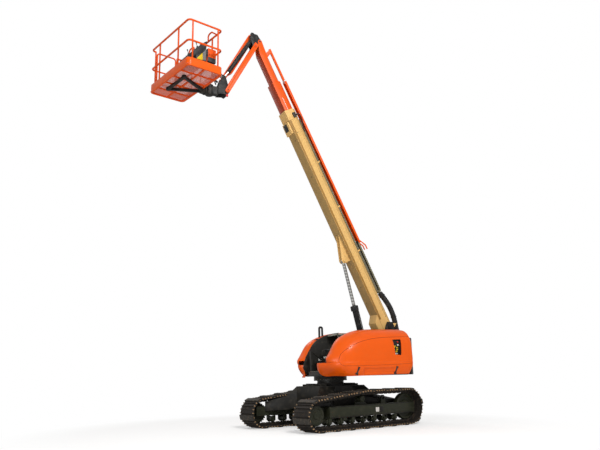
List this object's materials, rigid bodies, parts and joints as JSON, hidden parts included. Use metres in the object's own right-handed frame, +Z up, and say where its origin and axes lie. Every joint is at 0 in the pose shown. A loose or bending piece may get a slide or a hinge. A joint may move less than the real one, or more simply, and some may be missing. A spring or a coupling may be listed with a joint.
{
  "type": "telescopic boom lift",
  "caption": "Telescopic boom lift on crawler tracks: slewing turntable with two side hoods, three-section boom, parallelogram jib and a railed work platform that turns.",
  "frame": {"origin": "middle of the overall bounding box's base, on the ground under the machine", "axes": "+X along the tracks towards the boom's side, +Y to the machine's left, +Z up"},
  "size_m": [6.1448, 3.127, 9.632],
  "materials": {
    "grey_paint": "satin",
    "orange_paint": "satin",
    "cream_paint": "satin",
    "dark_paint": "satin",
    "black_cast": "matte",
    "counterweight_paint": "satin",
    "track_steel": "worn",
    "cylinder_paint": "satin",
    "rod_chrome": "polished",
    "alloy": "satin",
    "black_plastic": "matte",
    "grey_plastic": "matte",
    "engine_alloy": "matte",
    "rail_paint": "satin"
  },
  "bodies": {
    "chassis": {"carbody": "dark_paint", "slewing_ring": "dark_paint", "track_belt_left": "track_steel", "track_belt_right": "track_steel", "track_frame_left": "dark_paint", "track_frame_right": "dark_paint", "track_rollers_left": "dark_paint", "track_rollers_right": "dark_paint", "idler_left": "dark_paint", "idler_right": "dark_paint", "final_drive_left": "dark_paint", "final_drive_right": "dark_paint"},
    "turntable": {"turntable_frame": "dark_paint", "counterweight": "counterweight_paint", "valley_side_left": "dark_paint", "valley_side_right": "dark_paint", "engine": "engine_alloy", "fluid_tank": "grey_plastic", "control_cabinet": "grey_plastic", "valley_cover": "grey_paint"},
    "hood_left": {"hood_left": "orange_paint"},
    "hood_right": {"hood_right": "orange_paint", "exhaust_pipe": "black_cast"},
    "base_boom": {"base_boom": "cream_paint", "energy_chain": "black_plastic", "hose_sleeve": "black_plastic"},
    "lift_barrel": {"lift_barrel": "cylinder_paint"},
    "lift_rod": {"lift_rod": "rod_chrome"},
    "mid_boom": {"mid_boom": "orange_paint"},
    "fly_boom": {"fly_boom": "orange_paint", "carrier_tube": "rail_paint"},
    "jib_base": {"jib_base": "black_cast"},
    "jib_arm": {"jib_arm": "orange_paint"},
    "jib_link": {"jib_link": "orange_paint"},
    "jib_barrel": {"jib_barrel": "cylinder_paint"},
    "jib_rod": {"jib_rod": "rod_chrome"},
    "jib_end": {"jib_end": "black_cast"},
    "platform": {"rotator_arm": "dark_paint", "platform_support": "dark_paint", "platform_floor": "rail_paint", "platform_skirt": "rail_paint", "platform_rails": "rail_paint", "console_guards": "rail_paint", "console": "grey_plastic", "floor_mesh": "alloy", "console_box": "rail_paint"},
    "platform_gate": {"platform_gate": "rail_paint"}
  },
  "joints": [
    {"name": "slew", "type": "hinge", "parent": "chassis", "child": "turntable", "pos_m": [-1.01266, 0.08243, 1.03], "axis": [0, 0, 1], "continuous": true},
    {"name": "hood_left_hinge", "type": "hinge", "parent": "turntable", "child": "hood_left", "pos_m": [-0.87745, 0.64131, 2.156], "axis": [0.972, -0.2351, 0], "range_deg": [0, 60]},
    {"name": "hood_right_hinge", "type": "hinge", "parent": "turntable", "child": "hood_right", "pos_m": [-1.14787, -0.47644, 2.156], "axis": [-0.972, 0.2351, 0], "range_deg": [0, 60]},
    {"name": "lift", "type": "hinge", "parent": "turntable", "child": "base_boom", "pos_m": [-2.59113, 0.46431, 2.314], "axis": [-0.2351, -0.972, 0], "range_deg": [-64.2, 7.8], "deforming": ["hose_sleeve"]},
    {"name": "lift_barrel_swing", "type": "hinge", "parent": "turntable", "child": "lift_barrel", "pos_m": [-2.01184, 0.32416, 1.55], "axis": [-0.2351, -0.972, 0], "range_deg": [-56.34, 6.85]},
    {"name": "lift_rod_slide", "type": "slide", "parent": "lift_barrel", "child": "lift_rod", "axis": [0.2243, -0.0543, 0.973], "range_m": [-1.0051, 0.1226]},
    {"name": "mid_slide", "type": "slide", "parent": "base_boom", "child": "mid_boom", "axis": [0.423, -0.1023, 0.9003], "range_m": [-0.65, 4.4], "deforming": ["energy_chain"]},
    {"name": "fly_slide", "type": "slide", "parent": "mid_boom", "child": "fly_boom", "axis": [0.423, -0.1023, 0.9003], "range_m": [-0.65, 4.4]},
    {"name": "jib_level", "type": "hinge", "parent": "fly_boom", "child": "jib_base", "pos_m": [0.72469, -0.33787, 9.4284], "axis": [-0.2351, -0.972, 0], "range_deg": [-7.81, 64.21]},
    {"name": "jib_raise", "type": "hinge", "parent": "jib_base", "child": "jib_arm", "pos_m": [0.93223, -0.38809, 9.577], "axis": [-0.2351, -0.972, 0], "range_deg": [0, 130]},
    {"name": "jib_link_swing", "type": "hinge", "parent": "jib_base", "child": "jib_link", "pos_m": [0.85156, -0.36857, 9.247], "axis": [-0.2351, -0.972, 0], "range_deg": [0, 130.01]},
    {"name": "jib_end_level", "type": "hinge", "parent": "jib_arm", "child": "jib_end", "pos_m": [1.63718, -0.55863, 8.2412], "axis": [-0.2351, -0.972, 0], "range_deg": [-130.01, 0]},
    {"name": "jib_barrel_swing", "type": "hinge", "parent": "jib_base", "child": "jib_barrel", "pos_m": [0.93223, -0.38809, 9.44], "axis": [-0.2351, -0.972, 0], "range_deg": [0, 130.96]},
    {"name": "jib_rod_slide", "type": "slide", "parent": "jib_barrel", "child": "jib_rod", "axis": [0.5031, -0.1217, -0.8556], "range_m": [0, 0.2562]},
    {"name": "platform_turn", "type": "hinge", "parent": "jib_end", "child": "platform", "pos_m": [1.96737, -0.63851, 7.854], "axis": [0, 0, 1], "range_deg": [-103.6, 76.4]},
    {"name": "gate_hinge", "type": "hinge", "parent": "platform", "child": "platform_gate", "pos_m": [2.91137, -1.53951, 8.554], "axis": [0, 0, -1], "range_deg": [0, 90]}
  ],
  "couplings": [
    {"joint": "lift_barrel_swing", "follows": "lift", "ratio": 0.8775},
    {"joint": "lift_rod_slide", "follows": "lift", "m_per_rad": 0.8966},
    {"joint": "fly_slide", "follows": "mid_slide", "ratio": 1},
    {"joint": "jib_level", "follows": "lift", "ratio": -1},
    {"joint": "jib_link_swing", "follows": "jib_raise", "ratio": 1},
    {"joint": "jib_end_level", "follows": "jib_raise", "ratio": -1},
    {"joint": "jib_barrel_swing", "follows": "jib_raise", "ratio": 1.0073},
    {"joint": "jib_rod_slide", "follows": "jib_raise", "m_per_rad": 0.1127}
  ]
}
